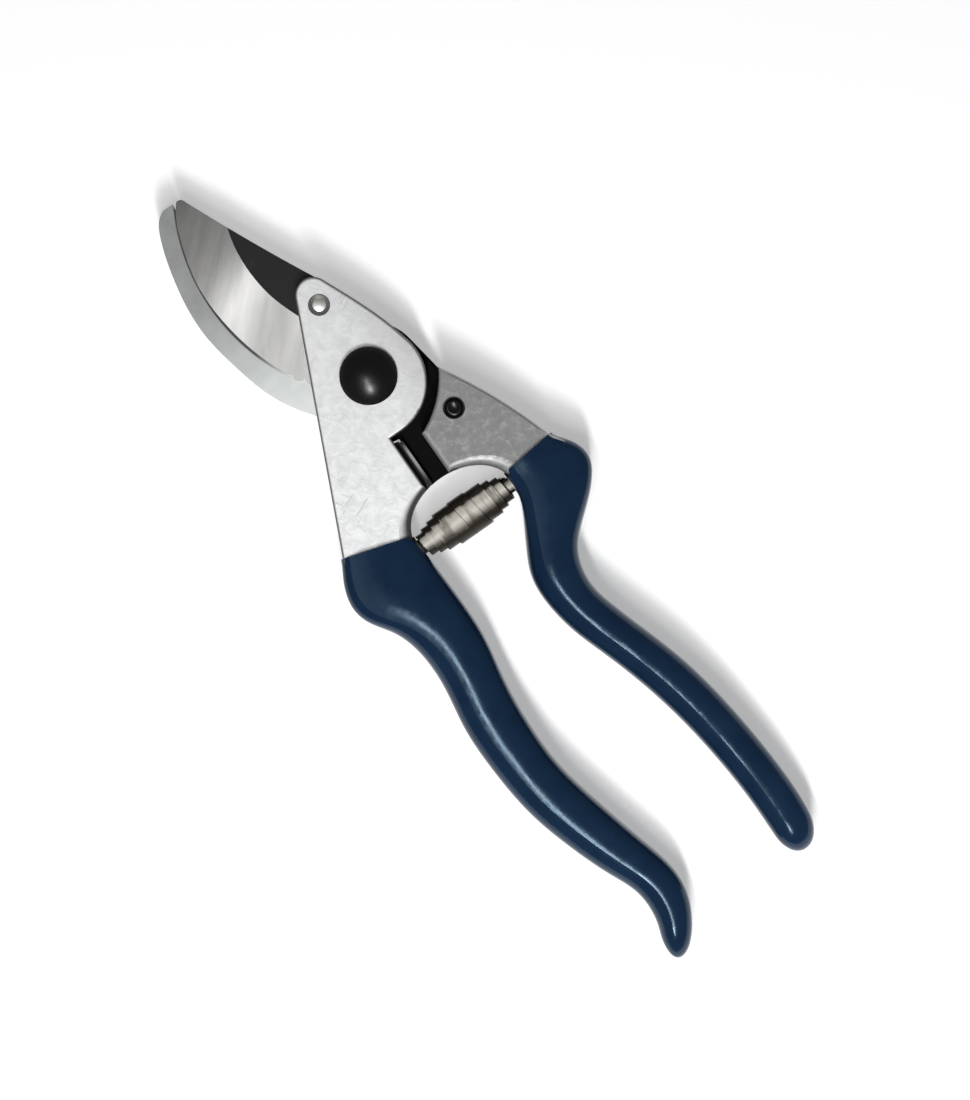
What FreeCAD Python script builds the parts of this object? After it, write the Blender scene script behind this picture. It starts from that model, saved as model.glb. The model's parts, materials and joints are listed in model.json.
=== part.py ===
import FreeCAD, Part
import math
import os

# Bypass pruning shears with two forged aluminium handles, a cutting blade, a hooked counter blade, a
# double volute spring and a thumb catch on the back.
#
# Frame: millimetres. The shears lie closed on their back on the plane z = 0. The pivot's axis is the
# Z axis, +Y points to the blade tips and +Z out of the front, where the domed bolt head is.
# The blade handle is on the left (-X) and the hook handle on the right (+X).

V = FreeCAD.Vector

# Heights. The steel parts meet at MID, and the handles are the same each side of it.
MID = 9.0
STEEL = 2.5
PLATE = 3.7
BACK = MID - STEEL - PLATE
FRONT = MID + STEEL + PLATE
SLIP = 0.06            # gap between the blade and the hook
RIM = 0.7              # rounding of the handles' outer edges
WINDOW_RIM = (3.2, 1.7, 2.6)   # rounding round the spring window: along X, along Y and down
WALL_RIM = 1.6         # rounding of the hook handle's edge along the channel

# Pivot
SHANK_R = 4.0
BUSH_R = 5.1
RUNNING = 0.04
HEAD_R = 6.85
HEAD_H = 3.5
WASHER_T = 0.5
NUT_R = 7.9
NUT_TEETH = 24
NUT_SUNK = 1.0
FLAT = 3.3             # the bolt's two flats, from its axis

# Round pieces in the handles, as centres in plan
BLADE_RIVET = (0.1, 20.4)
BLADE_RIVET_R = 2.6    # its countersunk head
HOOK_RIVETS = ((-11.6, 13.2), (8.2, -9.4))
CATCH_PIN = (12.2, -17.6)
CATCH_PIN_R = 2.2
CATCH_RECESS_R = 2.65  # the recess in the front round the pin's end
CATCH_STUD = (-8.5, -20.5)
LOCK_ANGLE = 75.0      # direction of the nut's lock plate from the pivot
LOCK_SCREW_AT = 11.0   # its screw's distance from the pivot

# The window between the handles that the spring stands in, an ellipse in plan
WINDOW = (0.0, -39.2)
WINDOW_HALF = (13.7, 9.95)

# Spring
SPRING_Y = -40.0
SPRING_R = 5.05        # outer radius of its middle turn
SPRING_STRIP = 0.45    # thickness of the strip
SPRING_TURNS = 4       # turns each side of the middle
SPRING_STEP = 0.72     # near the ends, each turn is this much smaller in radius than the one round it
SPRING_BELLY = 1.0     # how many turns it takes the taper to start
SPRING_WIDTH = 4.4
SPRING_PITCH = 4.5     # the middle turns lie edge to edge
SPRING_TUCK = 2.03     # each further turn stands this far out of the one round it
BOSS_X = 16.6          # root of the stubs that its ends sit on, each side of the middle
BOSS_R = 1.9

# Grips
COAT = 1.3             # thickness of the vinyl coat
CROWN = 10.0           # degrees that a grip's top slopes at each side, before it bends down
CATCH_FREE = -20.0     # the catch lies this far from its locked place


def point(p, z=0.0):
    return V(p[0], p[1], z)


def polar(radius, degrees, centre=(0.0, 0.0)):
    a = math.radians(degrees)
    return centre[0] + radius * math.cos(a), centre[1] + radius * math.sin(a)


def arc(middle, end):
    """A step of an outline: a round stretch through middle to end."""
    return "arc", middle, end


def curve(*points, enter=None, leave=None):
    """A step of an outline: a smooth stretch through the points. enter and leave are its end directions."""
    return "curve", points, enter, leave


def direction(degrees):
    return V(math.cos(math.radians(degrees)), math.sin(math.radians(degrees)), 0)


def outline(start, *steps):
    """A flat face at z = 0. A plain point in steps is a straight run to it."""
    edges, here = [], start
    for step in steps:
        if step[0] == "arc":
            edges.append(Part.Arc(point(here), point(step[1]), point(step[2])).toShape())
            here = step[2]
        elif step[0] == "curve":
            line = Part.BSplineCurve()
            through = [point(p) for p in (here,) + step[1]]
            if step[2] is None:
                line.interpolate(through)
            else:
                line.interpolate(Points=through, InitialTangent=direction(step[2]), FinalTangent=direction(step[3]))
            edges.append(line.toShape())
            here = step[1][-1]
        else:
            edges.append(Part.LineSegment(point(here), point(step)).toShape())
            here = step
    if math.dist(here, start) > 1e-6:
        edges.append(Part.LineSegment(point(here), point(start)).toShape())
    return Part.Face(Part.Wire(edges))


def slab(face, low, high):
    """The face's outline as a solid between two heights."""
    solid = face.copy()
    solid.translate(V(0, 0, low))
    return solid.extrude(V(0, 0, high - low))


def disc(radius, low, high, centre=(0.0, 0.0)):
    return Part.makeCylinder(radius, high - low, point(centre, low), V(0, 0, 1))


def cone(low_radius, high_radius, low, high, centre=(0.0, 0.0)):
    return Part.makeCone(low_radius, high_radius, high - low, point(centre, low), V(0, 0, 1))


def turned(profile):
    """A solid of revolution about Z, from (radius, height) points and arc steps."""
    face = outline(*profile)
    face.rotate(V(0, 0, 0), V(1, 0, 0), 90)
    return face.revolve(V(0, 0, 0), V(0, 0, 1), 360)


def cap_middle(radius, rim_z, pole_z):
    """The middle of the arc that makes a part of a sphere, from a rim on the Z axis to the pole."""
    rise = pole_z - rim_z
    ball = (radius ** 2 + rise ** 2) / (2 * rise)
    half = math.asin(radius / abs(ball)) / 2
    return abs(ball) * math.sin(half), pole_z - ball * (1 - math.cos(half))


def edges_where(solid, wanted):
    """Edges whose every sampled point passes the test."""
    found = []
    for edge in solid.Edges:
        samples = edge.discretize(Number=5)
        if all(wanted(p) for p in samples):
            found.append(edge)
    return found


def tangent_point(centre, radius, outside, left):
    """Where a line from the outside point touches the circle, on its left or right seen from there."""
    dx, dy = centre[0] - outside[0], centre[1] - outside[1]
    away = math.hypot(dx, dy)
    turn = math.degrees(math.asin(radius / away)) * (1 if left else -1)
    direction = math.degrees(math.atan2(dy, dx)) + turn
    return polar(math.sqrt(away ** 2 - radius ** 2), direction, outside)


def window(rim=None):
    """The ellipse that the handles and the hook's tail leave free round the spring. The handles flare it."""
    def ring(share, z):
        wide, long = (half + share * more for half, more in zip(WINDOW_HALF, rim or (0, 0)))
        return Part.Wire(Part.Ellipse(point(WINDOW, z), wide, long).toShape())

    solids = [Part.Face(ring(0, -1)).extrude(V(0, 0, FRONT + 5))]
    if rim:
        steps = [math.radians(degrees) for degrees in (0, 20, 40, 60, 75, 90)]
        for face_z, side in ((FRONT, 1), (BACK, -1)):
            rings = [ring(1 - math.cos(a), face_z - side * rim[2] * (1 - math.sin(a))) for a in steps]
            solids.append(Part.makeLoft(rings, True, False))
    return solids


# ---- grips: a rounded rectangle at each station along the handle, with a rounded end ----

# outer edge, inner edge, half the depth, corner radius
BLADE_GRIP = (
    ((-30.1, -31.6), (-13.3, -36.6), 7.4, 2.6),
    ((-32.6, -36.2), (-13.0, -39.6), 7.6, 2.8),
    ((-34.4, -42.4), (-12.8, -43.5), 8.0, 3.2),
    ((-33.1, -47.8), (-12.6, -49.0), 8.4, 3.8),
    ((-29.9, -52.8), (-12.4, -56.0), 8.7, 4.6),
    ((-27.6, -59.5), (-12.5, -63.0), 8.9, 5.0),
    ((-27.3, -69.0), (-13.4, -70.0), 9.0, 5.0),
    ((-28.9, -79.5), (-15.1, -79.5), 9.0, 5.0),
    ((-29.3, -91.5), (-16.0, -91.5), 9.0, 5.0),
    ((-28.1, -105.0), (-15.5, -102.0), 8.9, 5.0),
    ((-24.9, -117.5), (-13.0, -114.0), 8.5, 4.9),
    ((-20.7, -128.8), (-9.8, -126.6), 7.9, 4.7),
    ((-17.7, -137.2), (-7.6, -137.0), 7.2, 4.5),
    ((-18.4, -145.3), (-8.9, -144.7), 6.6, 4.3),
)
BLADE_GRIP_END = (-4.0, -9.5)
HOOK_GRIP = (
    ((27.7, -35.4), (13.4, -37.0), 7.4, 3.0),
    ((30.2, -39.4), (13.2, -40.5), 7.6, 3.2),
    ((31.8, -45.0), (12.4, -44.8), 8.0, 3.4),
    ((29.5, -49.6), (10.2, -49.2), 8.3, 3.8),
    ((23.9, -55.0), (6.8, -55.2), 8.5, 4.6),
    ((17.2, -61.6), (4.3, -61.0), 8.6, 4.8),
    ((15.0, -69.0), (3.8, -67.6), 8.7, 4.9),
    ((15.9, -75.4), (4.9, -75.4), 8.8, 4.9),
    ((18.6, -84.2), (7.6, -84.2), 8.95, 4.9),
    ((22.0, -95.2), (11.3, -96.2), 8.95, 4.8),
    ((24.7, -108.4), (14.3, -110.2), 8.9, 4.7),
    ((26.3, -123.0), (16.0, -124.4), 8.3, 4.6),
    ((26.8, -135.0), (16.5, -135.4), 7.6, 4.5),
    ((26.4, -142.6), (16.4, -142.8), 7.0, 4.4),
)
HOOK_GRIP_END = (-0.6, -7.7)
END_STEPS = (18, 36, 54, 70, 82, 88)     # degrees round the quarter turn that closes a grip


def section(outer, inner, half_depth, corner):
    """A rounded rectangle with a crowned top and bottom. It stands on the line from outer to inner and is
    halved by the plane z = MID."""
    across = point(inner) - point(outer)
    half = across.Length / 2
    across.normalize()
    middle = (point(outer) + point(inner)) * 0.5 + V(0, 0, MID)
    slope = math.radians(CROWN)
    crown_half = half - corner * (1 - math.sin(slope))
    crown_end = half_depth - crown_half * math.tan(slope / 2)
    corner_z = crown_end - corner * math.cos(slope)
    bend = (math.pi / 2 - slope) / 2

    def place(s, t):
        return middle + across * s + V(0, 0, t)

    edges, begin, here = [], None, None
    for s, t in ((1, 1), (-1, 1), (-1, -1), (1, -1)):
        side = place(s * half, t * corner_z)
        top = place(s * crown_half, t * crown_end)
        between = place(s * (half - corner * (1 - math.cos(bend))), t * (corner_z + corner * math.sin(bend)))
        first, last = (side, top) if s * t > 0 else (top, side)
        if here is None:
            begin = first
        elif s * t > 0:
            edges.append(Part.LineSegment(here, first).toShape())
        else:
            edges.append(Part.Arc(here, place(0, t * half_depth), first).toShape())
        edges.append(Part.Arc(first, between, last).toShape())
        here = last
    edges.append(Part.LineSegment(here, begin).toShape())
    return Part.Wire(edges)


def grip_form(stations, end, inset=0.0, skip=0):
    """The grip's outer form, or its core when inset. skip leaves out stations at the head end."""
    sizes = []
    for outer, inner, half_depth, corner in stations[skip:]:
        share = inset / math.dist(outer, inner)
        a = [o + (i - o) * share for o, i in zip(outer, inner)]
        b = [i + (o - i) * share for o, i in zip(outer, inner)]
        sizes.append((a, b, half_depth - inset, max(corner - inset, 0.8)))
    sections = [section(*size) for size in sizes]
    a, b, half_depth, corner = sizes[-1]
    middle = [(p + q) / 2 for p, q in zip(a, b)]
    reach = 1 - inset / math.hypot(*end)
    for degrees in END_STEPS:
        wide = math.cos(math.radians(degrees))
        shift = [e * reach * math.sin(math.radians(degrees)) for e in end]
        narrow_a = [m + s + (p - m) * wide for m, s, p in zip(middle, shift, a)]
        narrow_b = [m + s + (p - m) * wide for m, s, p in zip(middle, shift, b)]
        sections.append(section(narrow_a, narrow_b, half_depth * wide, corner * wide))
    return Part.makeLoft(sections, True, False)


# ---- outlines of the forgings ----

TIP = (0.3, 23.1)                # middle of the rounded end over the blade rivet
TIP_R = 4.3
LOBE = (-0.8, -1.3)              # middle of the blade handle's round lobe below the pivot
LOBE_R = 13.7
GRIP_CORNER = (-29.6, -31.7)     # where the blade handle's left edge goes into its grip
BACK_LOBE_R = 13.3               # the hook handle's round lobe behind the pivot
EAR_R = 4.4                      # its rounded end behind the hook's upper rivet
STEP_CORNER = (14.7, -7.6)       # outer end of the step in the hook handle's front
STEP_LOW_Y = -18.3               # its inner end, at the channel
STEP_R = 16.8
CHANNEL_LEFT = -4.1
CHANNEL_BACK_LEFT = -3.0
CHANNEL_RIGHT = 2.4
LEDGE = 0.8                      # the blade handle reaches this far over the slit beside the hook's tail
LEDGE_LOW = MID + 0.5            # its underside
TAIL_LEFT = -2.6
BUFFER_R = 2.2
BUFFER_AT = (-25.2, 6.7)         # the buffer's axis runs along X at this y and z
BUFFER_LENGTH = 5.4


def blade_handle_left_edge(y):
    top = tangent_point(TIP, TIP_R, GRIP_CORNER, True)
    share = (y - GRIP_CORNER[1]) / (top[1] - GRIP_CORNER[1])
    return GRIP_CORNER[0] + share * (top[0] - GRIP_CORNER[0]), y


def blade_handle_root(channel_x):
    """The stretch of outline inside the grip, from its outer corner to the channel's lower end."""
    return ((-31.3, -36.0), (-32.2, -41.0), (-14.4, -42.5), (-14.4, -37.8), (channel_x, -37.8))


def spring_boss(towards):
    """A stub with a shoulder that one end of the spring sits on. towards is the side of X that it points to."""
    axis, shoulder_length = V(towards, 0, 0), 3.6
    root = -towards * BOSS_X
    shoulder = Part.makeCylinder(3.1, shoulder_length, V(root, SPRING_Y, MID), axis)
    stub = Part.makeCylinder(BOSS_R, 4.8, V(root + towards * shoulder_length, SPRING_Y, MID), axis)
    return shoulder.fuse(stub).removeSplitter()


def blade_handle_frame():
    front = outline(
        tangent_point(TIP, TIP_R, GRIP_CORNER, True),
        arc(polar(TIP_R, 88, TIP), polar(TIP_R, 24, TIP)),
        curve((8.6, 14.6), (10.5, 9.4), polar(LOBE_R, 12, LOBE), enter=-66, leave=-78),
        arc(polar(LOBE_R, -40, LOBE), polar(LOBE_R, -90, LOBE)),
        (CHANNEL_LEFT, LOBE[1] - LOBE_R),
        *reversed(blade_handle_root(CHANNEL_LEFT)),
        GRIP_CORNER,
    )
    body = outline(
        blade_handle_left_edge(-9.2),
        polar(STEP_R, 212),
        arc(polar(STEP_R, 235), (CHANNEL_BACK_LEFT, -math.sqrt(STEP_R ** 2 - CHANNEL_BACK_LEFT ** 2))),
        *reversed(blade_handle_root(CHANNEL_BACK_LEFT)),
        GRIP_CORNER,
    )
    ledge_corner = V(CHANNEL_BACK_LEFT - 1, -37.7, LEDGE_LOW)
    ledge = Part.makeBox(1 + LEDGE, 37.6 - STEP_R, FRONT - PLATE - LEDGE_LOW, ledge_corner)
    frame = slab(front, FRONT - PLATE, FRONT).fuse([slab(body, BACK, FRONT - PLATE), ledge])
    frame = round_handle(frame.removeSplitter(), lambda p: p.y < -35.9 and p.x < -14 or p.z < MID and p.x > -19)
    holes = [
        disc(BUSH_R, BACK, FRONT + 1),
        disc(1.65, BACK, FRONT + 1, BLADE_RIVET),
        disc(BLADE_RIVET_R, FRONT - 1.2, FRONT + 1, BLADE_RIVET),
        disc(1.6, BACK - 1, BACK + 4.5, CATCH_STUD),
        Part.makeCylinder(BUFFER_R, BUFFER_LENGTH, V(CHANNEL_BACK_LEFT - BUFFER_LENGTH, *BUFFER_AT), V(1, 0, 0)),
    ]
    core = grip_form(BLADE_GRIP, BLADE_GRIP_END, COAT, 1).fuse(spring_boss(1))
    return frame.cut(holes).fuse(core)


def round_handle(frame, inside_grip):
    """Rounds the front and back rims outside the grip, then opens the spring's window."""
    rim = edges_where(frame, lambda p: min(abs(p.z - FRONT), abs(p.z - BACK)) < 1e-4)
    shown = [edge for edge in rim if not any(inside_grip(p) for p in edge.discretize(Number=5))]
    return frame.makeFillet(RIM, shown).cut(window(WINDOW_RIM))


def hook_handle_root(channel_x):
    return ((26.9, -35.2), (29.0, -38.6), (30.0, -43.0), (14.6, -43.0), (14.6, -37.9), (channel_x, -37.9))


def hook_handle_frame():
    ear = HOOK_RIVETS[0]
    bearing = math.degrees(math.atan2(ear[1], ear[0]))
    spread = math.degrees(math.acos((BACK_LOBE_R - EAR_R) / math.hypot(*ear)))
    back = outline(
        tangent_point((0, 0), BACK_LOBE_R, STEP_CORNER, False),
        arc(polar(BACK_LOBE_R, 35), polar(BACK_LOBE_R, bearing - spread)),
        polar(EAR_R, bearing - spread, ear),
        arc(polar(EAR_R, bearing, ear), polar(EAR_R, bearing + spread, ear)),
        polar(BACK_LOBE_R, bearing + spread),
        arc(polar(BACK_LOBE_R, 225), (TAIL_LEFT, -math.sqrt(BACK_LOBE_R ** 2 - TAIL_LEFT ** 2))),
        *reversed(hook_handle_root(TAIL_LEFT)),
        arc((21.3, -20.2), STEP_CORNER),
    )
    body = outline(
        STEP_CORNER,
        arc((21.3, -20.2), (26.9, -35.2)),
        *hook_handle_root(CHANNEL_RIGHT)[1:],
        (CHANNEL_RIGHT, STEP_LOW_Y),
        arc((9.7, -13.8), STEP_CORNER),
    )
    frame = slab(back, BACK, BACK + PLATE).fuse(slab(body, BACK + PLATE, FRONT))
    frame = round_handle(frame.removeSplitter(), lambda p: p.x > 10 and p.y < -35.3)
    between_flats = Part.makeBox(20, 2 * FLAT + 0.1, 20, V(-10, -FLAT - 0.05, 0))
    holes = [
        disc(SHANK_R + 0.05, BACK, FRONT).common(between_flats),
        disc(NUT_R + 0.3, 0, BACK + NUT_SUNK),
        disc(CATCH_PIN_R + 0.05, 0, FRONT + 1, CATCH_PIN),
        disc(CATCH_RECESS_R, FRONT - 1.2, FRONT + 1, CATCH_PIN),
        disc(1.4, 0, BACK + 3.0, polar(LOCK_SCREW_AT, LOCK_ANGLE)),
        channel_edge(),
    ]
    holes += [disc(1.85, 0, BACK + PLATE, centre) for centre in HOOK_RIVETS]
    core = grip_form(HOOK_GRIP, HOOK_GRIP_END, COAT, 1).fuse(spring_boss(-1))
    return frame.cut(holes).fuse(core)


def channel_edge():
    """What the large rounding takes off the hook handle's front edge along the channel."""
    start, length = WINDOW[1], WINDOW_HALF[1] + 14
    square = Part.makeBox(WALL_RIM, length, WALL_RIM + 1, V(CHANNEL_RIGHT, start, FRONT - WALL_RIM))
    round_bar = Part.makeCylinder(WALL_RIM, length, V(CHANNEL_RIGHT + WALL_RIM, start, FRONT - WALL_RIM), V(0, 1, 0))
    return square.cut(round_bar)


def grip(stations, end, root, boss):
    """A vinyl sleeve with a cavity for the handle's core, the root of its forging and the spring's boss."""
    inside = [grip_form(stations, end, COAT, 1), slab(outline(*root), BACK, FRONT), boss]
    return grip_form(stations, end).cut(inside)


def blade_handle_grip():
    root = (*blade_handle_root(-12.0), (-12.0, -30.0), (-28.7, -29.6), GRIP_CORNER)
    return grip(BLADE_GRIP, BLADE_GRIP_END, root, spring_boss(1))


def hook_handle_grip():
    root = (*hook_handle_root(12.0), (12.0, -33.0), (26.1, -33.0))
    return grip(HOOK_GRIP, HOOK_GRIP_END, root, spring_boss(-1))


# ---- steel parts ----

HOOK_LOBE_R = 13.1
HOOK_SHOULDER_R = 16.3           # the hook's lobe beside its tail, just inside the blade handle's step
BLADE_LOBE_R = 12.5
HOOK_TIP = (-14.6, 60.0)
BLADE_TIP = (-13.6, 59.9)
CHOIL = (-14.6, 10.2)


def cutting_blade():
    """Flat on the hook's side. The front is ground down from a curved line to the cutting edge."""
    spine_low, spine_high = (12.3, -0.6), (3.9, 24.9)
    blade = outline(
        BLADE_TIP,
        curve((-15.1, 58.0), (-18.6, 50.0), (-20.5, 42.5), (-21.0, 35.0), (-20.3, 27.5),
              (-18.5, 19.5), CHOIL),
        arc((-14.3, 8.7), (-12.8, 8.2)),
        (-11.9, 3.8),
        arc(polar(BLADE_LOBE_R, -120), polar(BLADE_LOBE_R, -20)),
        spine_low,
        arc((9.4, 10.3), spine_high),
        arc((-4.9, 43.0), (-11.9, 58.9)),
        arc((-12.6, 59.8), BLADE_TIP),
    )
    solid = slab(blade, MID, MID + STEEL)
    shoulder = ((-2.5, 11.0), (-4.4, 18.5), (-7.6, 27.2), (-8.9, 37.0), (-8.1, 44.6), (-6.0, 51.0), (-2.0, 60.0))
    edge = ((-12.5, 2.0), (-17.7, 15.0), (-20.9, 27.5), (-21.5, 37.0), (-20.6, 45.0), (-18.3, 53.0), (-14.0, 62.0))
    top, low = Part.BSplineCurve(), Part.BSplineCurve()
    top.interpolate([point(p, MID + STEEL) for p in shoulder])
    low.interpolate([point(p, MID + 0.12) for p in edge])
    ground = Part.makeRuledSurface(top.toShape(), low.toShape()).extrude(V(0, 0, STEEL + 1))
    solid = solid.cut(ground)
    holes = [disc(BUSH_R, 0, FRONT), disc(1.65, 0, FRONT, BLADE_RIVET), cone(2.3, 1.6, MID, MID + 0.8, BLADE_RIVET)]
    return solid.cut(holes)


def hook_blade():
    """The counter blade. Its tail runs down the channel between the handles and is the closing stop."""
    tail_low, tail_right = WINDOW[1] + 8.0, CHANNEL_RIGHT - 0.2
    heel = (14.0, -8.2)
    hook = outline(
        HOOK_TIP,
        (-17.2, 60.1),
        curve((-19.4, 58.7), (-21.6, 55.0), (-24.4, 46.0), (-25.9, 37.5), (-26.1, 30.0), (-24.5, 20.0),
              (-21.3, 9.0), (-17.0, 1.6), polar(HOOK_LOBE_R, 196)),
        arc(polar(HOOK_LOBE_R, 215), polar(HOOK_LOBE_R, 234)),
        polar(HOOK_SHOULDER_R, 238),
        arc(polar(HOOK_SHOULDER_R, 249), (TAIL_LEFT, -math.sqrt(HOOK_SHOULDER_R ** 2 - TAIL_LEFT ** 2))),
        (TAIL_LEFT, tail_low),
        (tail_right, tail_low),
        (tail_right, STEP_LOW_Y),
        arc((9.4, -13.5), heel),
        tangent_point((0, 0), HOOK_LOBE_R, heel, False),
        arc(polar(HOOK_LOBE_R, 40), polar(HOOK_LOBE_R, 90)),
        curve((-4.5, 13.6), (-8.0, 16.6), (-11.5, 21.5), (-15.0, 29.0), (-16.6, 37.0), (-16.6, 45.5),
              (-15.6, 54.0), HOOK_TIP),
    )
    solid = slab(hook, BACK + PLATE, MID - SLIP).cut(window())
    holes = [disc(SHANK_R + 0.05, 0, MID)]
    for centre in HOOK_RIVETS:
        holes.append(disc(1.85, 0, MID, centre))
        holes.append(cone(1.85, 2.95, MID - SLIP - 1.0, MID - SLIP, centre))
    return solid.cut(holes)


def blade_rivet():
    """Its head fills the countersink in the front, with a dish punched into it."""
    x, y = BLADE_RIVET
    rim, dish, floor = BLADE_RIVET_R - 0.05, 1.55, FRONT - 0.75
    rivet = turned((
        (0, MID), (2.25, MID), (1.6, MID + 0.75), (1.6, FRONT - 1.2), (rim, FRONT - 1.2), (rim, FRONT - 0.1),
        (rim - 0.1, FRONT), (dish, floor), arc(cap_middle(dish, floor, floor + 0.15), (0, floor + 0.15)),
    ))
    rivet.translate(V(x, y, 0))
    return rivet


def hook_rivets():
    rivets = []
    for x, y in HOOK_RIVETS:
        low, top = BACK - 0.9, MID - SLIP
        rivet = turned((
            (0, low), arc(cap_middle(2.5, BACK, low), (2.5, BACK)), (1.8, BACK), (1.8, top - 1.0),
            (2.85, top), (0, top),
        ))
        rivet.translate(V(x, y, 0))
        rivets.append(rivet)
    return Part.makeCompound(rivets)


# ---- pivot ----

def pivot_bush():
    return disc(BUSH_R - 0.01, MID, FRONT).cut(disc(SHANK_R + RUNNING, 0, FRONT + 1))


def head_washer():
    low = FRONT + 0.05
    return disc(HEAD_R - 0.35, low, low + WASHER_T).cut(disc(SHANK_R + 0.15, 0, FRONT + 2))


def pivot_bolt():
    base = FRONT + 0.05 + WASHER_T
    crown = base + HEAD_H
    bolt = turned((
        (0, 0.5), (SHANK_R - 0.6, 0.5), (SHANK_R, 1.1), (SHANK_R, base), (HEAD_R - 0.3, base),
        (HEAD_R, base + 0.3), (HEAD_R, base + 0.7), arc(cap_middle(HEAD_R, base + 0.7, crown), (0, crown)),
    ))
    flats = [Part.makeBox(20, 10, PLATE - NUT_SUNK, V(-10, y, BACK + NUT_SUNK)) for y in (FLAT, -10 - FLAT)]
    return bolt.cut(flats)


def pivot_nut():
    """A toothed flange let into the handle, with a hexagon below it that the shears lie on."""
    flange = disc(NUT_R, 1.2, BACK + NUT_SUNK)
    notches = [disc(0.5, 0, 5, polar(NUT_R, 360 / NUT_TEETH * n)) for n in range(NUT_TEETH)]
    corners = [polar(6.9, 60 * n) for n in range(6)]
    hexagon = slab(outline(*corners), 0, 1.2).common(cone(6.3, 7.5, 0, 1.2))
    return flange.cut(notches).fuse(hexagon).removeSplitter().cut(disc(SHANK_R, -1, 5))


def lock_plate():
    """Three of its teeth sit in the nut's notches, so that the nut can't turn."""
    half, inner, outer = 26, NUT_R + 0.2, 12.7
    low = BACK - 1.1
    face = outline(
        polar(inner, LOCK_ANGLE - half),
        polar(outer, LOCK_ANGLE - half * 0.75),
        arc(polar(outer, LOCK_ANGLE), polar(outer, LOCK_ANGLE + half * 0.75)),
        polar(inner, LOCK_ANGLE + half),
        arc(polar(inner, LOCK_ANGLE), polar(inner, LOCK_ANGLE - half)),
    )
    teeth = [disc(0.4, low, BACK, polar(NUT_R + 0.05, LOCK_ANGLE + 360 / NUT_TEETH * n)) for n in (-1, 0, 1)]
    return slab(face, low, BACK).fuse(teeth).removeSplitter().cut(disc(1.5, 0, 5, polar(LOCK_SCREW_AT, LOCK_ANGLE)))


def lock_screw():
    low = BACK - 1.1
    centre = polar(LOCK_SCREW_AT, LOCK_ANGLE)
    head = disc(2.0, low - 1.0, low, centre)
    head = head.makeFillet(0.4, edges_where(head, lambda p: p.z < low - 0.9))
    slot = Part.makeBox(6, 0.6, 0.6, V(centre[0] - 3, centre[1] - 0.3, low - 1.1))
    return head.fuse(disc(1.38, low, BACK + 2.8, centre)).removeSplitter().cut(slot)


# ---- catch, spring and buffer ----

def catch_pin():
    """A shoulder screw from the back. Its dished end with a rounded lip shows in a recess in the front."""
    x, y = CATCH_PIN
    low, top, head, lip = 0.1, FRONT - 0.2, 3.3, 1.4
    dish = top - 0.38
    pin = turned((
        (0, low), (head - 0.4, low), (head, low + 0.4), (head, 0.8), (CATCH_PIN_R, 0.8), (CATCH_PIN_R, top - 0.8),
        arc((CATCH_PIN_R - 0.24, top - 0.23), (lip, top)), arc(cap_middle(lip, top, dish), (0, dish)),
    ))
    pin.translate(V(x, y, 0))
    slot = Part.makeBox(0.8, 8, 0.45, V(x - 0.4, y - 4, low - 0.1))
    return pin.cut(slot)


def catch_washer():
    return disc(3.9, 2.52, BACK, CATCH_PIN).cut(disc(CATCH_PIN_R + 0.1, 0, 5, CATCH_PIN))


def catch_lever():
    """Drawn hooked round the stud, then turned to where it lies when free."""
    low, high, eye = 0.85, 2.5, 4.3
    face = outline(
        polar(eye, 110, CATCH_PIN),
        (-9.0, -14.4),
        arc((-12.2, -15.2), (-13.2, -17.6)),
        (-13.2, -21.2),
        arc((-12.0, -22.6), (-10.6, -21.4)),
        (-10.4, -19.4),
        arc((-10.0, -18.8), (-9.3, -18.5)),
        (4.6, -18.9),
        arc((7.6, -19.8), (9.6, -21.6)),
        (14.2, -28.2),
        arc((18.6, -31.6), (21.4, -26.8)),
        polar(eye, -20, CATCH_PIN),
        arc(polar(eye, 45, CATCH_PIN), polar(eye, 110, CATCH_PIN)),
    )
    grooves = []
    for n in range(4):
        groove = Part.makeBox(12.0, 0.6, 1.0, V(-6.0, -0.3, -0.6))
        groove.rotate(V(0, 0, 0), V(0, 0, 1), 30)
        groove.translate(V(18.2 - 0.75 * n, -29.2 + 1.3 * n, low))
        grooves.append(groove)
    lever = slab(face, low, high).cut(grooves + [disc(CATCH_PIN_R + 0.05, 0, 5, CATCH_PIN)])
    lever.rotate(point(CATCH_PIN), V(0, 0, 1), CATCH_FREE)
    return lever


def catch_stud():
    stud = disc(1.58, 0.9, BACK + 4.4, CATCH_STUD)
    return stud.makeChamfer(0.3, edges_where(stud, lambda p: p.z < 1.0))


def stop_buffer():
    """A rubber plug that the hook's tail closes against."""
    start = V(CHANNEL_BACK_LEFT + 0.25 - BUFFER_LENGTH, *BUFFER_AT)
    plug = Part.makeCylinder(BUFFER_R - 0.02, BUFFER_LENGTH, start, V(1, 0, 0))
    return plug.makeFillet(0.35, edges_where(plug, lambda p: p.x > CHANNEL_BACK_LEFT))


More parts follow.
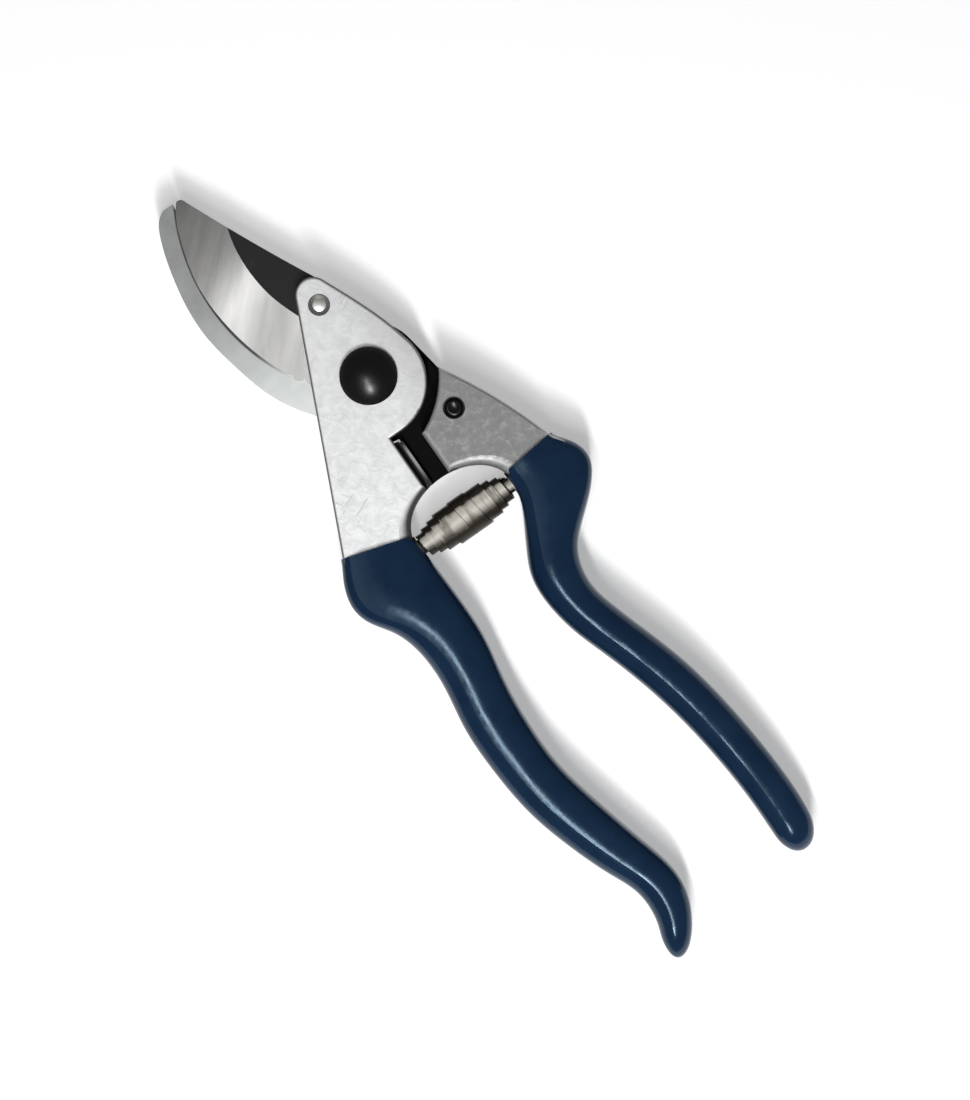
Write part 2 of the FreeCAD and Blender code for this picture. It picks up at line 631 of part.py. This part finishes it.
def volute_spring():
    """One strip wound into two cones that meet at their wide ends, along X."""
    sections, per_turn = [], 12
    for step in range(-SPRING_TURNS * per_turn, SPRING_TURNS * per_turn + 1):
        turn, away = step / per_turn, abs(step) / per_turn
        along = math.copysign(SPRING_PITCH * min(away, 1) + SPRING_TUCK * max(away - 1, 0), turn)
        radius = SPRING_R - SPRING_STEP * (math.hypot(away, SPRING_BELLY) - SPRING_BELLY)
        angle = math.radians(360 * turn)
        half = SPRING_WIDTH / 2
        corners = []
        for r, x in ((radius, -half), (radius, half), (radius - SPRING_STRIP, half), (radius - SPRING_STRIP, -half)):
            corners.append(V(along + x, SPRING_Y + r * math.cos(angle), MID + r * math.sin(angle)))
        sections.append(Part.makePolygon(corners + corners[:1]))
    return Part.makeLoft(sections, True, False)


def main():
    os.makedirs("parts", exist_ok=True)
    nodes = {
        "blade_handle_frame": blade_handle_frame(),
        "hook_handle_frame": hook_handle_frame(),
        "blade_handle_grip": blade_handle_grip(),
        "hook_handle_grip": hook_handle_grip(),
        "cutting_blade": cutting_blade(),
        "hook_blade": hook_blade(),
        "blade_rivet": blade_rivet(),
        "hook_rivets": hook_rivets(),
        "pivot_bush": pivot_bush(),
        "head_washer": head_washer(),
        "pivot_bolt": pivot_bolt(),
        "pivot_nut": pivot_nut(),
        "lock_plate": lock_plate(),
        "lock_screw": lock_screw(),
        "catch_pin": catch_pin(),
        "catch_washer": catch_washer(),
        "catch_lever": catch_lever(),
        "catch_stud": catch_stud(),
        "stop_buffer": stop_buffer(),
        "volute_spring": volute_spring(),
    }
    for name, shape in nodes.items():
        shape.exportStep(f"parts/{name}.step")
        box = shape.BoundBox
        print(f"{name}: {len(shape.Solids)} solid, valid {shape.isValid()}, {shape.Volume:.0f} mm3, "
              f"x {box.XMin:.1f}..{box.XMax:.1f} y {box.YMin:.1f}..{box.YMax:.1f} z {box.ZMin:.2f}..{box.ZMax:.2f}")


main()
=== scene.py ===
"""Bypass pruning shears, lying closed on their back on a white table. Metres, in the CAD frame."""

import json
import math

import bpy
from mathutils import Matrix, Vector

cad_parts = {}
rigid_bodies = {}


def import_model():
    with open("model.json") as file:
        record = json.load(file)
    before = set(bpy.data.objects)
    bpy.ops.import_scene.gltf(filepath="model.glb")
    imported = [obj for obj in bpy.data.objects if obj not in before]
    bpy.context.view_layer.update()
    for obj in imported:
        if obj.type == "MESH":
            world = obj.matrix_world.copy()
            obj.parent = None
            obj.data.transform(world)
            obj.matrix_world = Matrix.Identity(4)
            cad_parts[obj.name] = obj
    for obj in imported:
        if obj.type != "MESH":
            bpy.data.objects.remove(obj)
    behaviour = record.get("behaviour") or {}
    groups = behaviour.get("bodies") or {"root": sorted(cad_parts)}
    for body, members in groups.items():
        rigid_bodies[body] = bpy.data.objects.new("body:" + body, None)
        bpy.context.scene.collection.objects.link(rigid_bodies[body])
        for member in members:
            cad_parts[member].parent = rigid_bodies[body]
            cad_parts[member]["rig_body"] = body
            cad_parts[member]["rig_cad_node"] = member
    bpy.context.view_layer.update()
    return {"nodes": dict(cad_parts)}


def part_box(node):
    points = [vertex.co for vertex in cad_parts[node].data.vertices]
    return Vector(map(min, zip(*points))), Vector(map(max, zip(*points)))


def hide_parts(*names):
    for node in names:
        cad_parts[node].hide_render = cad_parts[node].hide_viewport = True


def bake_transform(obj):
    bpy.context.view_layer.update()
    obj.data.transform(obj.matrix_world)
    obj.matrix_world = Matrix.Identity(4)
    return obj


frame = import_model()
nodes = frame["nodes"]
MM = 0.001
EDGE_CENTRE = (28.8, 34.5)      # of the arc of the cutting edge, in mm


# ---- node material helpers ----

class Shader:
    """A node material with a Principled shader. Textures use the frame's coordinates, in metres."""

    def __init__(self, name, **values):
        self.material = bpy.data.materials.new(name)
        self.material.use_nodes = True
        self.tree = self.material.node_tree
        self.bsdf = self.tree.nodes["Principled BSDF"]
        for socket, value in values.items():
            self.bsdf.inputs[socket.replace("_", " ")].default_value = value
        self.coords = self.add("ShaderNodeTexCoord").outputs["Object"]
        self.height = None

    def add(self, kind, **settings):
        node = self.tree.nodes.new(kind)
        for key, value in settings.items():
            setattr(node, key, value)
        return node

    def link(self, source, target):
        self.tree.links.new(source, target)

    def mapped(self, stretch=(1, 1, 1), turn=0.0):
        """Coordinates that stretch a texture by this much along its axes, then turn it about Z."""
        node = self.add("ShaderNodeMapping", vector_type="TEXTURE")
        node.inputs["Scale"].default_value = stretch
        node.inputs["Rotation"].default_value = (0, 0, math.radians(turn))
        self.link(self.coords, node.inputs["Vector"])
        return node.outputs["Vector"]

    def noise(self, size_mm, detail=3.0, rough=0.55, vector=None, distortion=0.0):
        """Noise whose features are about size_mm wide, from 0 to 1."""
        node = self.add("ShaderNodeTexNoise")
        node.inputs["Scale"].default_value = 1000.0 / size_mm
        node.inputs["Detail"].default_value = detail
        node.inputs["Roughness"].default_value = rough
        node.inputs["Distortion"].default_value = distortion
        self.link(vector or self.coords, node.inputs["Vector"])
        return node.outputs["Fac"]

    def cells(self, size_mm):
        """Distance from the middle of the nearest of cells about size_mm wide, from 0."""
        node = self.add("ShaderNodeTexVoronoi", feature="F1")
        node.inputs["Scale"].default_value = 1000.0 / size_mm
        self.link(self.coords, node.inputs["Vector"])
        return node.outputs["Distance"]

    def ramp(self, source, low, high, start=0.0, end=1.0):
        """start below low, end above high, straight between."""
        node = self.add("ShaderNodeMapRange")
        limits = {"From Min": low, "From Max": high, "To Min": start, "To Max": end}
        for name, value in limits.items():
            node.inputs[name].default_value = value
        self.link(source, node.inputs["Value"])
        return node.outputs["Result"]

    def math(self, operation, first, second=None):
        node = self.add("ShaderNodeMath", operation=operation)
        for socket, value in zip(node.inputs, (first, second)):
            if value is None:
                continue
            if isinstance(value, (int, float)):
                socket.default_value = value
            else:
                self.link(value, socket)
        return node.outputs[0]

    def mix(self, factor, first, second):
        """A colour mix; the colours are sockets or RGB tuples."""
        node = self.add("ShaderNodeMix", data_type="RGBA")
        self.link(factor, node.inputs["Factor"])
        for socket, value in ((node.inputs[6], first), (node.inputs[7], second)):
            if isinstance(value, tuple):
                socket.default_value = (*value, 1)
            else:
                self.link(value, socket)
        return node.outputs[2]

    def to(self, socket, source):
        self.link(source, self.bsdf.inputs[socket])

    def bump(self, source, depth_mm):
        """Adds relief of this depth, over what is there."""
        node = self.add("ShaderNodeBump")
        node.inputs["Distance"].default_value = depth_mm * MM
        node.inputs["Strength"].default_value = 1.0
        self.link(source, node.inputs["Height"])
        if self.height:
            self.link(self.height, node.inputs["Normal"])
        self.height = node.outputs["Normal"]
        self.to("Normal", self.height)

    def scratches(self, turn, length_mm, width_mm, amount):
        """Sparse fine lines in one direction: 0, and 1 on a line."""
        stretched = self.mapped((length_mm / width_mm, 1, 1), turn)
        lines = self.noise(width_mm * 2.2, 1.0, 0.4, stretched)
        patches = self.ramp(self.noise(14, 1.0), 0.45, 0.62)
        return self.math("MULTIPLY", self.ramp(lines, 0.80 - amount, 0.86 - amount), patches)

    def radius_from(self, x_mm, y_mm):
        """Distance from an axis along Z, in mm."""
        shift = self.add("ShaderNodeVectorMath", operation="SUBTRACT")
        shift.inputs[1].default_value = (x_mm * MM, y_mm * MM, 0)
        self.link(self.coords, shift.inputs[0])
        flat = self.add("ShaderNodeVectorMath", operation="MULTIPLY")
        flat.inputs[1].default_value = (1000, 1000, 0)
        self.link(shift.outputs[0], flat.inputs[0])
        length = self.add("ShaderNodeVectorMath", operation="LENGTH")
        self.link(flat.outputs[0], length.inputs[0])
        return length.outputs["Value"]

    def place(self, axis):
        """The X, Y or Z of the frame, in mm."""
        split = self.add("ShaderNodeSeparateXYZ")
        self.link(self.coords, split.inputs[0])
        return self.math("MULTIPLY", split.outputs[axis], 1000.0)

    def facing(self, axis):
        """How far the surface faces along one axis of the frame, from -1 to 1."""
        split = self.add("ShaderNodeSeparateXYZ")
        self.link(self.add("ShaderNodeNewGeometry").outputs["Normal"], split.inputs[0])
        return split.outputs[axis]


def bright_aluminium():
    """Cast, then tumbled smooth: pale and mottled, with a few fine scratches. The side towards +X and the
    rims are painted darker, as painted shade.
    """
    s = Shader("bright_aluminium", Metallic=0.5)
    blotch = s.noise(2.6, 4.0, 0.62, distortion=0.6)
    fine = s.noise(0.4, 2.0)
    marks = s.math("MAXIMUM", s.scratches(24, 4, 0.16, 0.13), s.scratches(-52, 3, 0.13, 0.13))
    pits = s.ramp(s.cells(1.5), 0.10, 0.04)
    dirt = s.math("MAXIMUM", s.math("MULTIPLY", marks, 0.5), s.math("MULTIPLY", pits, 0.25))
    colour = s.mix(s.ramp(blotch, 0.38, 0.66), (0.83, 0.835, 0.84), (0.72, 0.725, 0.73))
    # Painted shade: the plate is painted darker towards +X, the side away from the key light.
    colour = s.mix(s.ramp(s.place("X"), 2, 12, 0.0, 0.8), colour, (0.58, 0.58, 0.58))
    # Painted shade: faces that tilt away from level, the rounded rims, are painted dark grey.
    colour = s.mix(s.ramp(s.facing("Z"), 0.985, 0.76), colour, (0.13, 0.13, 0.13))
    s.to("Base Color", s.mix(dirt, colour, (0.40, 0.405, 0.41)))
    rough = s.math("ADD", s.ramp(blotch, 0.3, 0.7, 0.42, 0.52), s.ramp(fine, 0.3, 0.7, -0.03, 0.04))
    s.to("Roughness", rough)
    s.bump(blotch, 0.045)
    s.bump(fine, 0.006)
    s.bump(s.math("MULTIPLY", s.math("MAXIMUM", marks, pits), -1.0), 0.015)
    return s.material


def blasted_aluminium():
    """Shot-blasted: mid grey with paler crumpled flakes. The rounded rims are painted paler, a painted
    highlight.
    """
    s = Shader("blasted_aluminium", Metallic=0.8)
    flake = s.noise(1.7, 4.0, 0.62, distortion=0.7)
    speck = s.noise(0.25, 2.0, 0.6)
    broad = s.noise(7, 2.0)
    colour = s.mix(s.ramp(flake, 0.50, 0.68), (0.255, 0.256, 0.257), (0.335, 0.337, 0.337))
    colour = s.mix(s.ramp(broad, 0.35, 0.7, 0.0, 0.35), colour, (0.30, 0.302, 0.302))
    colour = s.mix(s.ramp(speck, 0.62, 0.74, 0.0, 0.35), colour, (0.45, 0.455, 0.46))
    up = s.facing("Z")
    # Painted highlight: faces tilted between about 25 and 75 degrees from level, the rounded rims, are
    # painted paler.
    wear_and_highlight = s.math("MULTIPLY", s.ramp(up, 0.985, 0.90), s.ramp(up, 0.25, 0.5))
    s.to("Base Color", s.mix(wear_and_highlight, colour, (0.53, 0.535, 0.53)))
    s.to("Roughness", s.ramp(flake, 0.3, 0.7, 0.60, 0.48))
    s.bump(flake, 0.040)
    s.bump(speck, 0.008)
    return s.material


def shaded_aluminium():
    """Painted shade: the walls and floor of the deep gaps between the handles are painted near black, with a
    faint mottle. The ledge in the channel carries a painted highlight, and the upward faces of the spring's
    stubs are painted a paler tan than their sides."""
    s = Shader("gap_shade_aluminium", Metallic=0.3)
    shade_mottle = s.noise(1.4, 4.0, 0.6)
    # Painted highlight: a thin paler line along the ledge in the channel.
    ledge = s.math("MULTIPLY", s.ramp(s.place("X"), -3.1, -2.7), s.ramp(s.place("X"), -2.0, -2.3))
    ledge_highlight = s.math("MULTIPLY", ledge, s.ramp(s.place("Y"), -28, -23, 0.0, 0.9))
    ledge_highlight = s.math("MULTIPLY", ledge_highlight, s.ramp(s.place("Y"), -17.5, -20))
    # Painted shade: near black all over, for the deep gaps that lie in shade.
    colour = s.mix(s.ramp(shade_mottle, 0.35, 0.75), (0.006, 0.006, 0.006), (0.022, 0.021, 0.020))
    colour = s.mix(ledge_highlight, colour, (0.40, 0.395, 0.39))
    # The upward faces of the spring's stubs are painted a paler tan than their painted-shade sides.
    outward = s.ramp(s.math("ABSOLUTE", s.place("X")), 11.0, 11.4)
    stub = s.math("MULTIPLY", outward, s.ramp(s.place("Y"), -33, -34))
    stub = s.math("MULTIPLY", stub, s.ramp(s.facing("Z"), 0.70, 0.97))
    s.to("Base Color", s.mix(stub, colour, (0.50, 0.47, 0.41)))
    s.to("Roughness", s.ramp(shade_mottle, 0.3, 0.7, 0.45, 0.62))
    s.bump(shade_mottle, 0.02)
    return s.material


def navy_vinyl():
    """Dip-moulded vinyl: glossy, faintly uneven, with dust specks and a few light scuffs."""
    s = Shader("navy_vinyl", Specular_IOR_Level=0.36, Specular_Tint=(0.58, 0.82, 1.0, 1.0))
    mottle = s.noise(9, 3.0)
    dust = s.ramp(s.cells(2.6), 0.040, 0.02)
    scuff = s.math("MAXIMUM", s.scratches(80, 7, 0.2, 0.03), s.scratches(15, 5, 0.16, 0.02))
    colour = s.mix(s.ramp(mottle, 0.3, 0.7), (0.0058, 0.0195, 0.0500), (0.0085, 0.0260, 0.0620))
    colour = s.mix(s.math("MULTIPLY", dust, 0.3), colour, (0.20, 0.23, 0.28))
    s.to("Base Color", s.mix(s.math("MULTIPLY", scuff, 0.2), colour, (0.08, 0.11, 0.16)))
    s.to("Roughness", s.ramp(s.noise(2.4, 3.0), 0.3, 0.7, 0.13, 0.18))
    s.bump(s.noise(0.55, 2.0), 0.004)
    s.bump(s.noise(5.0, 2.0), 0.03)
    return s.material


def polished_steel():
    """The blade's ground and polished faces, with fine lines and soft streaks slanting across the edge."""
    s = Shader("polished_steel", Metallic=1.0)
    lines = s.noise(0.10, 2.0, 0.5, s.mapped((16, 1, 1), 42))
    streak = s.noise(2.6, 1.0, 0.5, s.mapped((10, 1, 1), 42))
    s.to("Base Color", s.mix(s.ramp(streak, 0.32, 0.68), (0.71, 0.70, 0.685), (0.60, 0.60, 0.595)))
    s.to("Roughness", s.ramp(lines, 0.3, 0.7, 0.11, 0.14))
    s.bump(lines, 0.001)
    return s.material


def blade_coating():
    """Baked black non-stick coating on the blade's flat, with long fine scratches."""
    s = Shader("blade_coating", Specular_IOR_Level=0.28)
    # In the coating these marks are long fine scratches only, real wear.
    wear_and_highlight = s.math("MAXIMUM", s.scratches(63, 12, 0.14, 0.06), s.scratches(40, 7, 0.12, 0.05))
    speck = s.noise(0.4, 3.0)
    wear_and_highlight = s.math("MULTIPLY", wear_and_highlight, 0.4)
    s.to("Base Color", s.mix(wear_and_highlight, (0.010, 0.0105, 0.0115), (0.12, 0.12, 0.12)))
    s.to("Roughness", s.ramp(speck, 0.3, 0.7, 0.32, 0.42))
    s.bump(speck, 0.004)
    return s.material


def hook_steel():
    """Satin steel, painted paler towards the heel as a painted reflection. It is painted black inside the
    pivot joint as painted shade, with a painted shadow line where the blade's edge closes on it."""
    s = Shader("hook_steel", Metallic=1.0)
    lines = s.noise(0.14, 2.0, 0.5, s.mapped((20, 1, 1), 75))
    cloud = s.ramp(s.noise(5, 4.0), 0.3, 0.7)
    tip = s.mix(cloud, (0.37, 0.377, 0.374), (0.31, 0.322, 0.315))
    heel = s.mix(cloud, (0.68, 0.71, 0.695), (0.60, 0.63, 0.615))
    # Painted reflection: paler towards the heel, darker towards the tip.
    colour = s.mix(s.ramp(s.place("Y"), 36, 6), tip, heel)
    # Painted shade: black round the pivot and down the tail in the channel, where the joint lies in shade.
    round_pivot = s.ramp(s.radius_from(0, 0), 17.0, 15.5)
    painted_shade = s.math("MULTIPLY", round_pivot, s.ramp(s.place("X"), -12.0, -9.0))
    painted_shade = s.math("MAXIMUM", painted_shade, s.ramp(s.place("Y"), -4, -6))
    # Painted shadow: a dark line on the hook along the arc of the blade's cutting edge.
    to_edge = s.radius_from(*EDGE_CENTRE)
    edge_shadow = s.math("MULTIPLY", s.ramp(to_edge, 50.4, 50.1), s.ramp(to_edge, 48.6, 49.2))
    edge_shadow = s.math("MULTIPLY", edge_shadow, s.ramp(s.place("Y"), 10, 20, 0.0, 0.85))
    painted_shade = s.math("MAXIMUM", painted_shade, edge_shadow)
    s.to("Base Color", s.mix(painted_shade, colour, (0.007, 0.007, 0.007)))
    s.to("Roughness", s.math("ADD", s.ramp(lines, 0.3, 0.7, 0.36, 0.46), s.math("MULTIPLY", painted_shade, 0.15)))
    s.bump(lines, 0.006)
    return s.material


def satin_steel(name, colour, dark, low=0.28, high=0.40, turn=0):
    s = Shader(name, Metallic=1.0)
    lines = s.noise(0.14, 2.0, 0.5, s.mapped((20, 1, 1), turn))
    s.to("Base Color", s.mix(s.ramp(s.noise(4, 4.0), 0.35, 0.7), colour, dark))
    s.to("Roughness", s.ramp(lines, 0.3, 0.7, low, high))
    s.bump(lines, 0.008)
    return s.material


def rivet_steel():
    """Pale in the punched dish; its steep wall is painted dark as painted shade."""
    s = Shader("rivet_steel", Metallic=1.0)
    stain_and_shade_noise = s.noise(0.9, 4.0, 0.65)
    pale = s.mix(s.ramp(stain_and_shade_noise, 0.45, 0.72), (0.72, 0.72, 0.705), (0.62, 0.62, 0.61))
    # Painted shade: faces steeper than the dish are painted darker.
    s.to("Base Color", s.mix(s.ramp(s.facing("Z"), 0.94, 0.86), pale, (0.46, 0.46, 0.44)))
    s.to("Roughness", s.ramp(stain_and_shade_noise, 0.3, 0.7, 0.36, 0.46))
    s.bump(stain_and_shade_noise, 0.01)
    return s.material


def black_satin():
    """Black oxide on the bolt and the screws."""
    s = Shader("black_satin", Specular_IOR_Level=0.40)
    fine = s.noise(0.35, 3.0)
    dust = s.ramp(s.cells(1.1), 0.05, 0.02)
    dust = s.math("MULTIPLY", dust, 0.2)
    s.to("Base Color", s.mix(dust, (0.0045, 0.0042, 0.0045), (0.14, 0.14, 0.14)))
    s.to("Roughness", s.ramp(fine, 0.3, 0.7, 0.24, 0.34))
    s.bump(s.noise(2.2, 2.0), 0.02)
    s.bump(fine, 0.004)
    return s.material


def spring_nickel():
    """Nickel plate, brushed round the coils. The coils' sides and the faces turned towards -Y are painted
    dark, as painted shade and painted reflection.
    """
    s = Shader("spring_nickel", Specular_IOR_Level=0.2)
    lines = s.noise(0.12, 2.0, 0.5, s.mapped((1, 16, 16)))
    stain_and_shade_noise = s.noise(2.4, 3.0, 0.6)
    band = s.noise(2.0, 2.0, 0.5, s.mapped((1, 6, 6)))
    bright = s.mix(s.ramp(lines, 0.35, 0.7), (0.93, 0.89, 0.81), (0.74, 0.70, 0.62))
    bright = s.mix(s.ramp(band, 0.52, 0.60, 0.0, 0.8), bright, (0.30, 0.275, 0.235))
    # Painted shade and reflection: faces far from level, or turned towards -Y, are painted dark; the noise
    # only roughens that edge.
    level = s.math("ADD", s.math("ABSOLUTE", s.facing("Z")), s.ramp(stain_and_shade_noise, 0.3, 0.7, -0.05, 0.05))
    lit_side = s.ramp(s.facing("Y"), -0.40, 0.10, 0.16, 1.0)
    lit_face = s.math("MULTIPLY", s.ramp(level, 0.82, 0.93), lit_side)
    s.to("Base Color", s.mix(lit_face, (0.030, 0.025, 0.019), bright))
    s.to("Metallic", s.math("MULTIPLY", lit_face, 0.35))
    s.to("Roughness", s.ramp(lines, 0.3, 0.7, 0.24, 0.34))
    s.bump(lines, 0.003)
    return s.material


def rubber():
    s = Shader("buffer_rubber")
    fine = s.noise(0.3, 2.0)
    s.to("Base Color", s.mix(fine, (0.012, 0.012, 0.012), (0.022, 0.022, 0.022)))
    s.to("Roughness", s.ramp(fine, 0.3, 0.7, 0.6, 0.8))
    s.bump(fine, 0.02)
    return s.material


def brass():
    s = Shader("bush_brass", Metallic=1.0)
    stain_and_shade_noise = s.noise(1.2, 3.0)
    s.to("Base Color", s.mix(stain_and_shade_noise, (0.62, 0.46, 0.20), (0.42, 0.30, 0.14)))
    s.to("Roughness", s.ramp(stain_and_shade_noise, 0.3, 0.7, 0.25, 0.45))
    s.bump(stain_and_shade_noise, 0.01)
    return s.material


def paint(name, *materials):
    data = nodes[name].data
    data.materials.clear()
    for material in materials:
        data.materials.append(material)


bright, blasted, vinyl, black = bright_aluminium(), blasted_aluminium(), navy_vinyl(), black_satin()
shaded, hook = shaded_aluminium(), hook_steel()
stamped = satin_steel("stamped_steel", (0.50, 0.50, 0.51), (0.38, 0.38, 0.385), 0.3, 0.45, 30)
paint("blade_handle_frame", bright, shaded)
paint("hook_handle_frame", blasted, shaded)
paint("blade_handle_grip", vinyl)
paint("hook_handle_grip", vinyl)
paint("cutting_blade", polished_steel(), blade_coating())
paint("hook_blade", hook)
paint("blade_rivet", rivet_steel())
paint("hook_rivets", satin_steel("hook_rivet_steel", (0.60, 0.60, 0.61), (0.42, 0.42, 0.43)), hook)
paint("catch_stud", satin_steel("stud_steel", (0.60, 0.60, 0.61), (0.42, 0.42, 0.43)))
paint("stop_buffer", rubber())
paint("pivot_bush", brass())
paint("head_washer", stamped)
paint("lock_plate", stamped)
paint("catch_washer", stamped)
paint("catch_lever", stamped)
for name in ("pivot_bolt", "pivot_nut", "lock_screw", "catch_pin"):
    paint(name, black)


def assign(name, slot, wanted):
    """Gives the faces that pass the test the node's material of that number."""
    for face in nodes[name].data.polygons:
        if wanted(face.center / MM, face.normal):
            face.material_index = slot


# Where faces lie and how they face, in mm and as the Z of the normal.
LEVEL, UPWARD, NOT_DOWN = 0.999, 0.9, -0.5
COATING_SKIN = 0.02             # the coated faces are this close to the top of the blade
TOLERANCE = 0.1
RIM = 1.2                       # the rims of the front plates are kept out of the painted shade to this depth
GAP_RADII = (12.0, 19.5)        # the gap round the pivot
CHANNEL_HALF = 4.6              # half the width of the channel between the handles, with its walls
CHANNEL_ENDS = (-31, -13)       # along Y
STUB_REACH, STUB_RADIUS = 16, 3.6   # the spring's stubs: from the middle along X, and either side of its axis
STUB_HEIGHTS = (5.5, 12.5)
RECESS_RADIUS, RECESS_RIM = 2.9, 0.15   # the recess round the end of the catch's pin

blade_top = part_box("cutting_blade")[1].z / MM
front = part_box("blade_rivet")[1].z / MM
gap_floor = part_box("hook_blade")[0].z / MM
spring_y = sum(corner.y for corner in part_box("volute_spring")) / 2 / MM
pin_axis = (sum(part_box("catch_pin"), Vector()) / 2 / MM).xy


def on_coating(at, normal):
    """The flat of the blade above the ground bevel."""
    return normal.z > LEVEL and at.z > blade_top - COATING_SKIN


def in_gap(at, normal):
    """The facing walls of the gap round the pivot and of the channel."""
    beside_channel = abs(at.x) < CHANNEL_HALF and CHANNEL_ENDS[0] < at.y < CHANNEL_ENDS[1]
    round_pivot = GAP_RADII[0] < at.xy.length < GAP_RADII[1] and at.y < 0 and at.x > -CHANNEL_HALF
    deep = gap_floor - TOLERANCE < at.z < front - RIM
    return deep and (beside_channel or round_pivot) and normal.z > NOT_DOWN


def on_hook_seat(at, normal):
    """The floor of the gap, which the hook lies on."""
    return normal.z > UPWARD and abs(at.z - gap_floor) < TOLERANCE


def on_stub(at, normal):
    """The two stubs that the spring's ends sit on."""
    beside_axis = abs(at.x) < STUB_REACH and abs(at.y - spring_y) < STUB_RADIUS
    return beside_axis and STUB_HEIGHTS[0] < at.z < STUB_HEIGHTS[1]


def in_recess(at, normal):
    """The recess round the end of the catch's pin."""
    return (at.xy - pin_axis).length < RECESS_RADIUS and at.z < front - RECESS_RIM


def on_top(at, normal):
    return normal.z > UPWARD


assign("cutting_blade", 1, on_coating)
# The tops of the hook's rivets take the hook steel, which is painted black in the joint as painted shade.
assign("hook_rivets", 1, on_top)
# Painted shade: faces in the deep gaps, on the hook's seat, on the spring's stubs and in the recess round the
# catch's pin get the near-black second material.
for test in (in_gap, on_stub):
    assign("blade_handle_frame", 1, test)
for test in (in_gap, on_hook_seat, on_stub, in_recess):
    assign("hook_handle_frame", 1, test)

SHARP = 28                      # degrees: a steeper edge stays sharp
for node in nodes.values():
    node.data.shade_smooth()
    node.data.set_sharp_from_angle(angle=math.radians(SHARP))


# ---- spring: a copy of the CAD spring with its own material ----

spring = nodes["volute_spring"].copy()
spring.data = nodes["volute_spring"].data.copy()
spring.name = "spring_coil"
spring.parent = None
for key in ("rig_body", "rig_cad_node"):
    if key in spring:
        del spring[key]
bpy.context.scene.collection.objects.link(spring)
spring.data.materials.clear()
spring.data.materials.append(spring_nickel())
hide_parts("volute_spring")
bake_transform(spring)


# ---- floor, light and camera ----

bpy.ops.mesh.primitive_plane_add(size=6, location=(0, 0, 0))
floor = bpy.context.object
floor.name = "floor"
ground = Shader("floor_white", Roughness=0.9, Emission_Strength=0.36)
ground.bsdf.inputs["Emission Color"].default_value = (1, 1, 1, 1)
ground.to("Base Color", ground.mix(ground.noise(300, 2.0), (0.90, 0.90, 0.90), (0.93, 0.93, 0.93)))
floor.data.materials.append(ground.material)

CENTRE = Vector((-1.0, -49.2, 10.0)) * MM
GRIP_TURN, BLADE_TURN = -14, -30    # degrees, about along the grips and across the blade's bevel


def softbox(name, slope, height, size, power, turn):
    """A rectangular softbox that faces straight down, in the direction (slope, 1) from the middle of the
    object. turn swings its long side (Y) round, in degrees."""
    data = bpy.data.lights.new(name, "AREA")
    data.energy, data.shape = power, "RECTANGLE"
    data.size, data.size_y = size
    lamp = bpy.data.objects.new(name, data)
    bpy.context.scene.collection.objects.link(lamp)
    lamp.location = CENTRE + Vector((slope[0], slope[1], 1.0)) * height
    lamp.rotation_euler = (0, 0, math.radians(turn))


# The key lights everything and the strip draws the bright line along the grips. The weak panels beyond them
# show only in the polished bevel of the blade.
softbox("key", (-0.349, -0.616), 0.9, (0.11, 0.40), 8.0, GRIP_TURN)
softbox("strip", (-0.241, -0.184), 0.9, (0.07, 0.40), 2.2, GRIP_TURN)
softbox("blade_panel", (-0.305, 0.065), 0.95, (0.152, 0.50), 0.107, BLADE_TURN)
softbox("blade_band", (-0.400, 0.120), 0.95, (0.057, 0.50), 0.134, BLADE_TURN)
softbox("blade_fade", (-0.463, 0.150), 0.95, (0.085, 0.50), 0.022, BLADE_TURN)

world = bpy.data.worlds.new("studio")
world.use_nodes = True
world.node_tree.nodes["Background"].inputs["Color"].default_value = (1, 1, 1, 1)
world.node_tree.nodes["Background"].inputs["Strength"].default_value = 0.14
bpy.context.scene.world = world

LENS, SENSOR = 200.0, 36.0
VIEW_HEIGHT = 259.6 * MM        # what the picture shows from top to bottom
VIEW_TURN = -35                 # degrees
camera_data = bpy.data.cameras.new("camera")
camera_data.lens = LENS
camera_data.sensor_width = SENSOR
camera_data.clip_start = 0.01
camera = bpy.data.objects.new("camera", camera_data)
bpy.context.scene.collection.objects.link(camera)
camera.location = CENTRE + Vector((0, 0, VIEW_HEIGHT * LENS / SENSOR))
camera.rotation_euler = (0, 0, math.radians(VIEW_TURN))
bpy.context.scene.camera = camera
bpy.context.scene.view_settings.view_transform = "Standard"
